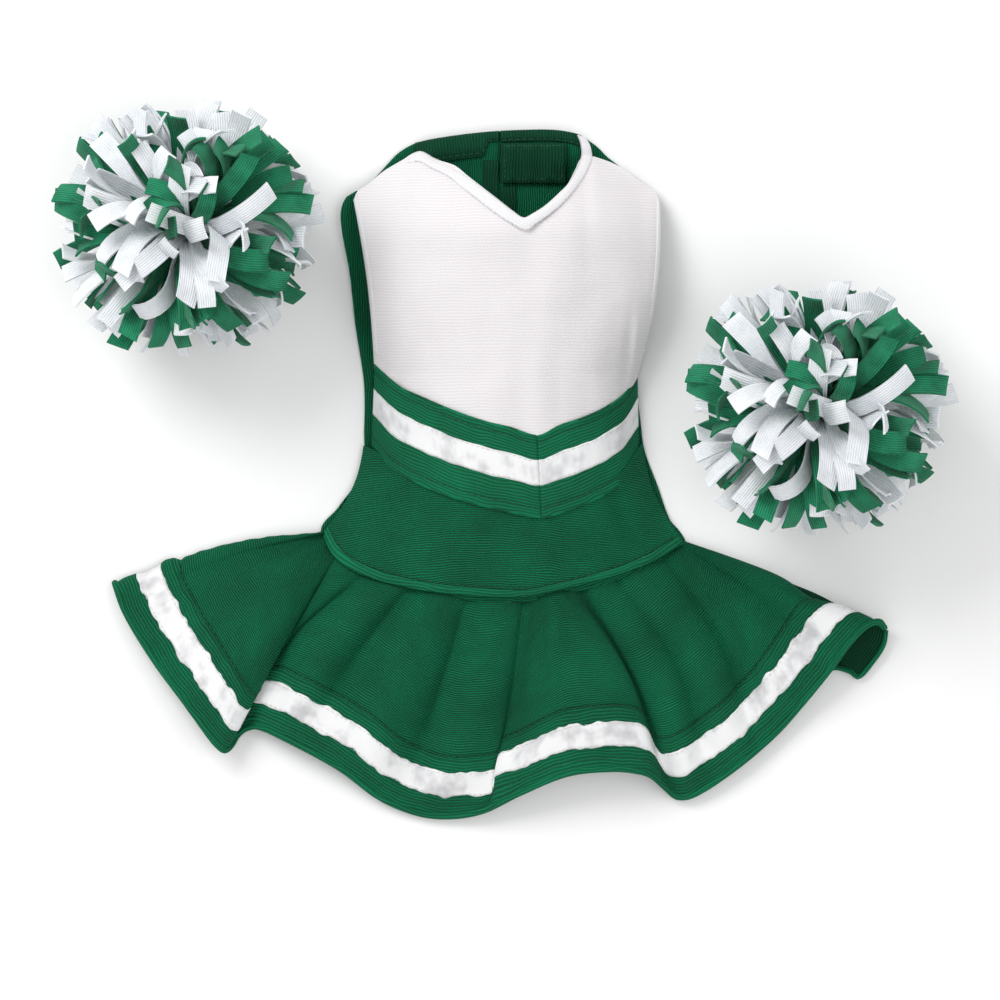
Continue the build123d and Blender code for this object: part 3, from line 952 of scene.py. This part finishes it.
def skirtPoint(s, v, lift=0.0):
    top, bottom, bend = skirtLine(s)
    p = top.lerp(bottom, v)
    dip = bell(v - 0.66, 0.11) * smoothStep((s - 0.955) / 0.045)
    p.x += curve(((0, 0), (0.5, bend[0]), (0.88, bend[2]), (1, 0)), v)[0] - 0.8 * dip
    p.y += curve(((0, 0), (0.5, bend[1]), (0.88, bend[3]), (1, 0)), v)[0] - 3.2 * dip
    p.y += sideBow(s) * math.sin(math.pi * v)
    p.z += rollHeight(s, v) + 0.45 * ripple(p.x, p.y, 13.0, 2.7) * smoothStep(v * 4)
    p.z = max(p.z, 2.0)
    if s < skirt["foldShare"]:
        turnDown(p, s, v, (bottom - top).length)
    return Vector((p.x, p.y, p.z + lift))


def lineLength(s):
    top, bottom, bend = skirtLine(s)
    return (bottom - top).length


def fromHem(s, distance, lift=0.0):
    # a point on the skirt at a distance from its hem
    return skirtPoint(s, 1 - distance / lineLength(s), lift)


def hemPuff(distance):
    # the turned hem is thicker, and the stitching pulls it in
    puff = 0.7 * smoothStep((skirt["band"] - distance) / 1.5)
    puff -= 0.75 * bell(distance - skirt["band"] + 0.6, 0.7)
    return puff - 0.6 * bell(distance - skirt["stitch"], 0.6)


def makeSkirtFront():
    def upper(s, k):
        length = lineLength(s)
        v = k * (1 - skirt["band"] / length)
        return *skirtPoint(s, v), s * skirt["around"], (1 - v) * length

    def band(s, distance):
        return *fromHem(s, distance, hemPuff(distance)), s * skirt["around"], distance

    # rows lie closer together at the seam and at the top of the band
    columns = steps(360)
    grid = gridOf(columns, [0.0, 0.015] + steps(58, 0.03, 1.0), upper)
    bandRows = [skirt["band"] - 0.3 * k for k in range(1, 8)] + steps(44, skirt["band"] - 2.4, 0.0)
    piece = clothMesh("skirt_front_cloth", grid + gridOf(columns, bandRows, band), 0.8)
    dress(piece, greenSkirt, "green_knit", "skirt_front", body=None)
    foldWithSkirt(piece)


def makeHemRibbon():
    def point(s, t):
        around = s * skirt["around"]
        seed = 3 * round(t)
        wobble = 1.3 * ripple(around, 0.0, 7.0, 4.0 + seed) + 0.55 * ripple(around, 0.0, 2.8, 9.0 + seed)
        distance = skirt["ribbonLow"] + skirt["ribbonWidth"] * t + wobble * abs(2 * t - 1)
        pucker = 0.34 * ripple(around, t * 4.0, 4.5, 6.1)
        return *fromHem(s, distance, 1.25 + pucker - 0.3 * bell(min(t, 1 - t), 0.05)), around, t * 9.5

    piece = clothMesh("hem_ribbon_front_satin", gridOf(steps(420), steps(14), point), 0.35)
    dress(piece, satin, "white_satin", "hem_ribbon_front", body="skirt")
    for name, t in (("top", 0.93), ("low", 0.07)):
        distance = skirt["ribbonLow"] + skirt["ribbonWidth"] * t
        path = [fromHem(s, distance, 1.5) for s in steps(400, 0.002, 0.998)]
        stitchRow(
            f"hem_ribbon_stitches_{name}", path, whiteThread, "white_satin", body="skirt", **ribbonStitch,
        )


def tube(name, path, radius, material, slot, node, body, flatten=1.0):
    # a rolled edge: a round section along a path
    verts, faces, uvs = [], [], []
    sides = 10
    ring = 2 * math.pi * radius / sides * mm
    walked, places = 0.0, []
    path = [Vector(p) for p in path]
    for k, p in enumerate(path):
        along = (path[min(k + 1, len(path) - 1)] - path[max(k - 1, 0)]).normalized()
        side = along.cross(Vector((0, 0, 1))).normalized()
        up = side.cross(along).normalized()
        walked += (p - path[max(k - 1, 0)]).length
        places.append(walked * mm)
        for j in range(sides):
            turn = 2 * math.pi * j / sides
            c = p + side * math.cos(turn) * radius + up * math.sin(turn) * radius * flatten
            verts.append(tuple(c * mm))
    for k in range(len(path) - 1):
        here, there = places[k], places[k + 1]
        for j in range(sides):
            n = (j + 1) % sides
            faces.append((k * sides + j, k * sides + n, (k + 1) * sides + n, (k + 1) * sides + j))
            uvs.extend(((here, j * ring), (here, (j + 1) * ring), (there, (j + 1) * ring), (there, j * ring)))
    for start, order in ((0, range(sides - 1, -1, -1)), (len(path) - 1, range(sides))):
        faces.append([start * sides + j for j in order])
        uvs.extend((0.0, 0.0) for j in range(sides))
    return dress(rawMesh(name, verts, faces, uvs), material, slot, node, body=body)


def makeHemEdge():
    path = [fromHem(s, 0.4, 0.35) for s in steps(420)]
    tube("hem_edge_front_roll", path, 1.25, greenBand, "green_knit", "hem_edge_front", "skirt")
    for name, distance in (("inner", skirt["band"] - 0.6), ("outer", skirt["stitch"])):
        path = [fromHem(s, distance, 0.15) for s in steps(420, 0.002, 0.998)]
        stitchRow(f"hem_stitches_{name}", path, greenThread, "green_knit", body="skirt")


# the back layer lies under the front one; at the right it runs on round the fold
backHem = byLength([
    (-149.6, -60.6), (-134.0, -86.0), (-122.0, -101.5), (-110.5, -116.5), (-100.0, -112.0), (-84.0, -115.5),
    (-62.0, -126.5), (-32.0, -144.0), (-5.0, -142.0), (24.0, -128.5), (44.0, -127.0), (66.0, -136.5),
    (90.0, -126.0), (112.0, -106.0), (126.5, -92.6), (133.8, -93.6), (137.0, -95.8), (142.4, -90.0),
    (146.7, -83.2), (147.6, -77.6),
])


def backLip(s):
    # the right end of the back layer lifts off the table
    return 2.2 * smoothStep((s - 0.9) / 0.1)


def makeSkirtBack():
    def point(s, v):
        x, y = mixPoint(skirtLine(s)[0].xy, curve(backHem, s), v)
        y += (sideBow(s) - 0.4) * math.sin(math.pi * v)
        y += 0.9 * bell(v - 0.66, 0.15) * smoothStep((s - 0.9) / 0.1)
        return x, y, 1.45 + backLip(s) * v, s * skirt["around"], v * 100.0

    def ribbonPoint(s, t):
        top, bottom = skirtLine(s)[0].xy, curve(backHem, s)
        v = 1 - (skirt["ribbonLow"] + skirt["ribbonWidth"] * t) / math.dist(top, bottom)
        return *mixPoint(top, bottom, v), 0.42 + backLip(s) * v, s * skirt["around"], t * 9.5

    piece = clothMesh("skirt_back_cloth", gridOf(steps(260), steps(50), point), 0.8)
    dress(piece, greenShadedCopy, "green_knit", "skirt_back", body=None)
    foldWithSkirt(piece)
    path = [(*curve(backHem, s), 1.55 + backLip(s)) for s in steps(300)]
    tube("hem_edge_back_roll", path, 1.0, greenBand, "green_knit", "hem_edge_back", "skirt", flatten=0.9)
    piece = clothMesh("hem_ribbon_back_satin", gridOf(steps(300, 0.004, 0.996), steps(6), ribbonPoint), 0.35)
    dress(piece, satin, "white_satin", "hem_ribbon_back", body="skirt")


makeSkirtFront()
makeHemRibbon()
makeHemEdge()
makeSkirtBack()
print("skirt made")


pompom = {
    "strips": 270, "width": 8.0, "thick": 0.8, "short": 42.0, "long": 51.0, "segments": 17, "seed": 11,
    "core": 3.0, "floor": 0.7, "spread": 0.14, "turned": 42, "bend": (5, 50), "droop": 62, "twist": 60,
    "turnedUp": 0.25, "places": (-0.5, -0.25, 0.0, 0.25, 0.5), "clothLength": 48.0,
    "patchSize": 2.3, "patchSeed": (4.0, 1.0, 7.0), "patchWeight": 1.3, "mixed": 0.38, "greenFrom": 0.14,
}
tie = {"radius": 6.2, "turns": 3, "steps": 60, "height": 6.0, "cord": 1.1}
pawLoop = {"middle": 1.25, "half": 0.62, "edge": 0.6, "steps": 96, "thick": 0.5}


def stripFrames(direction, rand, reach):
    # centreline and width direction of one strip, from the tie outwards; its weight bends it down
    away = direction.normalized()
    side = Vector((0, 0, 1)).cross(away).normalized()
    facing = max(0.0, away.z)
    side.rotate(Quaternion(away, math.radians(rand.gauss(0, pompom["turned"] + 60 * facing**3))))
    bend = math.radians(rand.uniform(*pompom["bend"]) + pompom["droop"] * facing * rand.uniform(0.35, 1.0))
    if rand.random() < pompom["turnedUp"]:
        bend *= -0.7
    start = rand.uniform(0.18, 0.5)
    twist = math.radians(rand.gauss(0, pompom["twist"]))
    lively = rand.choice((0, 1, 2))
    place, heading, wide = away * pompom["core"], away.copy(), side.copy()
    count = pompom["segments"]
    frames = [(place.copy(), heading.copy(), wide.copy())]
    for k in range(count):
        t = (k + 0.5) / count
        weight = min(1.0, max(0.0, t - start) / 0.2)
        curl = 1.0 + 1.3 * max(0.0, t - 0.6) * lively
        heading.rotate(Quaternion(wide, bend * curl * weight / count / (0.9 - start)))
        wide.rotate(Quaternion(heading, twist / count))
        place = place + heading * (reach / count)
        frames.append((place.copy(), heading.copy(), wide.copy()))
    return frames


def stripVerts(frames, centre, rand, width, verts):
    cup = rand.uniform(-0.9, 0.9)
    width *= rand.uniform(0.86, 1.12)
    slant = rand.uniform(-0.25, 0.25)
    soft = pompom["floor"] + 4
    for k, (place, heading, wide) in enumerate(frames):
        t = k / (len(frames) - 1)
        narrow = 0.45 + 0.55 * smoothStep(t * 2.2)
        up = wide.cross(heading).normalized()
        for face in (1, -1):
            for w in pompom["places"]:
                point = place + wide * (w * width * narrow) + up * (face * pompom["thick"] / 2)
                point += up * cup * (0.25 - w * w) * 4 * 0.8 * t
                if k == len(frames) - 1:
                    point += heading * (w * slant * width)
                point = point + centre
                if point.z < soft:
                    # the strips below lie down on the floor
                    point.z = soft - 4 + 4 * math.exp((point.z - soft) / 4)
                verts.append(tuple(point * mm))
    return width


def stripMesh(frames, centre, rand, verts, faces, uvs):
    base = len(verts)
    width = stripVerts(frames, centre, rand, pompom["width"], verts)
    offset = rand.uniform(0, 50)
    line, count = len(pompom["places"]), len(frames)
    ring = 2 * line
    widths = [place * width for place in pompom["places"]]

    def add(corners, turned=False):
        corners = corners[::-1] if turned else corners
        faces.append([base + a for a, b in corners])
        uvs.extend((b[0] * mm, b[1] * mm) for a, b in corners)

    for k in range(count - 1):
        v0, v1 = (pompom["clothLength"] * row / (count - 1) + offset for row in (k, k + 1))
        for j in range(line - 1):
            a, b = k * ring + j, (k + 1) * ring + j
            u0, u1 = widths[j], widths[j + 1]
            add([(a, (u0, v0)), (a + 1, (u1, v0)), (b + 1, (u1, v1)), (b, (u0, v1))])
            a, b = a + line, b + line
            add([(a, (u0, v0)), (b, (u0, v1)), (b + 1, (u1, v1)), (a + 1, (u1, v0))])
        for j in (0, line - 1):
            a, b = k * ring + j, (k + 1) * ring + j
            add([(a, (0, v0)), (b, (0, v1)), (b + line, (1, v1)), (a + line, (1, v0))], j > 0)
    for start in (0, (count - 1) * ring):
        for j in range(line - 1):
            a, u0, u1 = start + j, widths[j], widths[j + 1]
            add([(a, (u0, 0)), (a + line, (u0, 1)), (a + line + 1, (u1, 1)), (a + 1, (u1, 0))], start > 0)


def pompomCentre(side):
    boxes = [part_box(f"pompom_{side}_{colour}_strips") for colour in ("green", "white")]
    left, right = min(low.x for low, high in boxes), max(high.x for low, high in boxes)
    near, far = min(low.y for low, high in boxes), max(high.y for low, high in boxes)
    return Vector(((left + right) / 2, (near + far) / 2, boxes[0][1].z - (right - left) / 2)) / mm


def makePompom(side):
    centre = pompomCentre(side)
    rand = random.Random(pompom["seed"])
    made = {"green": ([], [], []), "white": ([], [], [])}
    golden = math.pi * (3 - math.sqrt(5))
    for k in range(pompom["strips"]):
        z = 1 - 2 * (k + 0.5) / pompom["strips"]
        flat = math.sqrt(1 - z * z)
        direction = Vector((flat * math.cos(k * golden), flat * math.sin(k * golden), z))
        direction += Vector([rand.gauss(0, pompom["spread"]) for axis in "xyz"])
        patch = noise.noise(direction * pompom["patchSize"] + Vector(pompom["patchSeed"]))
        clump = patch * pompom["patchWeight"] + rand.gauss(0, pompom["mixed"])
        colour = "green" if clump > pompom["greenFrom"] else "white"
        reach = rand.uniform(pompom["short"], pompom["long"])
        stripMesh(stripFrames(direction, rand, reach), centre, rand, *made[colour])
    for colour, material in (("green", greenFleece), ("white", whiteFleece)):
        piece = rawMesh(f"pompom_{side}_{colour}_tufts", *made[colour])
        piece.data.set_sharp_from_angle(angle=math.radians(50))
        dress(piece, material, f"{colour}_fleece", f"pompom_{side}_{colour}_strips", body=f"pompom_{side}")
    makeTie(side, centre)
    makePawLoop(side, centre)


def makeTie(side, centre):
    # a wound elastic tie round the middle of the strips
    path = []
    total = tie["turns"] * tie["steps"]
    for k in range(total + 1):
        turn = 2 * math.pi * k / tie["steps"]
        outwards = Vector((math.cos(turn), math.sin(turn), 0)) * tie["radius"]
        path.append(centre + outwards + Vector((0, 0, tie["height"] * (k / total - 0.5))))
    name = f"pompom_{side}"
    tube(f"{name}_tie_cord", path, tie["cord"], elastic, "elastic", f"{name}_tie", name)


def makePawLoop(side, centre):
    # the flat elastic loop underneath
    low, high = (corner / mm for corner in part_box(f"pompom_{side}_paw_loop"))
    half, width = (high.x - low.x) / 2 - pawLoop["edge"], high.y - low.y

    def point(t, turn):
        x = half * max(-1, min(1, 1.04 * math.cos(2 * math.pi * turn)))
        z = pawLoop["middle"] + pawLoop["half"] * math.sin(2 * math.pi * turn)
        return centre.x + x, centre.y + width * (t - 0.5), z, t * width, half * 4 * turn

    grid = gridOf(steps(8), steps(pawLoop["steps"]), point)
    piece = clothMesh(f"pompom_{side}_paw_loop_elastic", grid, pawLoop["thick"])
    dress(piece, elastic, "elastic", f"pompom_{side}_paw_loop", body=f"pompom_{side}")


for side in ("left", "right"):
    makePompom(side)
print("pompoms made")


studio = {
    "floor": 6.0, "floorColour": (0.93, 0.93, 0.93, 1), "world": 0.68,
    # where each lamp stands, its size and its power
    "lamps": {
        "key": ((-0.8, 0.85, 1.05), 0.8, 14.5),
        "fill": ((0.9, -0.3, 1.3), 1.2, 4.6),
        "front": ((0.0, -1.2, 0.8), 1.0, 1.6),
    },
}


def makeFloor():
    half = studio["floor"] / 2
    corners = [(-half, -half, 0), (half, -half, 0), (half, half, 0), (-half, half, 0)]
    floor = rawMesh("floor", corners, [(0, 1, 2, 3)])
    material, tree, shader = nodeTree("pale floor")
    shader.inputs["Base Color"].default_value = studio["floorColour"]
    shader.inputs["Roughness"].default_value = 0.9
    floor.data.materials.append(material)


def makeLight():
    for name, (place, size, power) in studio["lamps"].items():
        data = bpy.data.lights.new(name, "AREA")
        data.size = size
        data.energy = power
        lamp = bpy.data.objects.new(name, data)
        lamp.location = place
        lamp.rotation_euler = (-Vector(place)).to_track_quat("-Z", "Y").to_euler()
        bpy.context.scene.collection.objects.link(lamp)
    world = bpy.data.worlds.new("studio")
    world.use_nodes = True
    sky = world.node_tree.nodes["Background"]
    sky.inputs["Color"].default_value = (1, 1, 1, 1)
    sky.inputs["Strength"].default_value = studio["world"]
    bpy.context.scene.world = world
    bpy.context.scene.view_settings.view_transform = "Standard"


makeFloor()
makeLight()
print("studio ready")
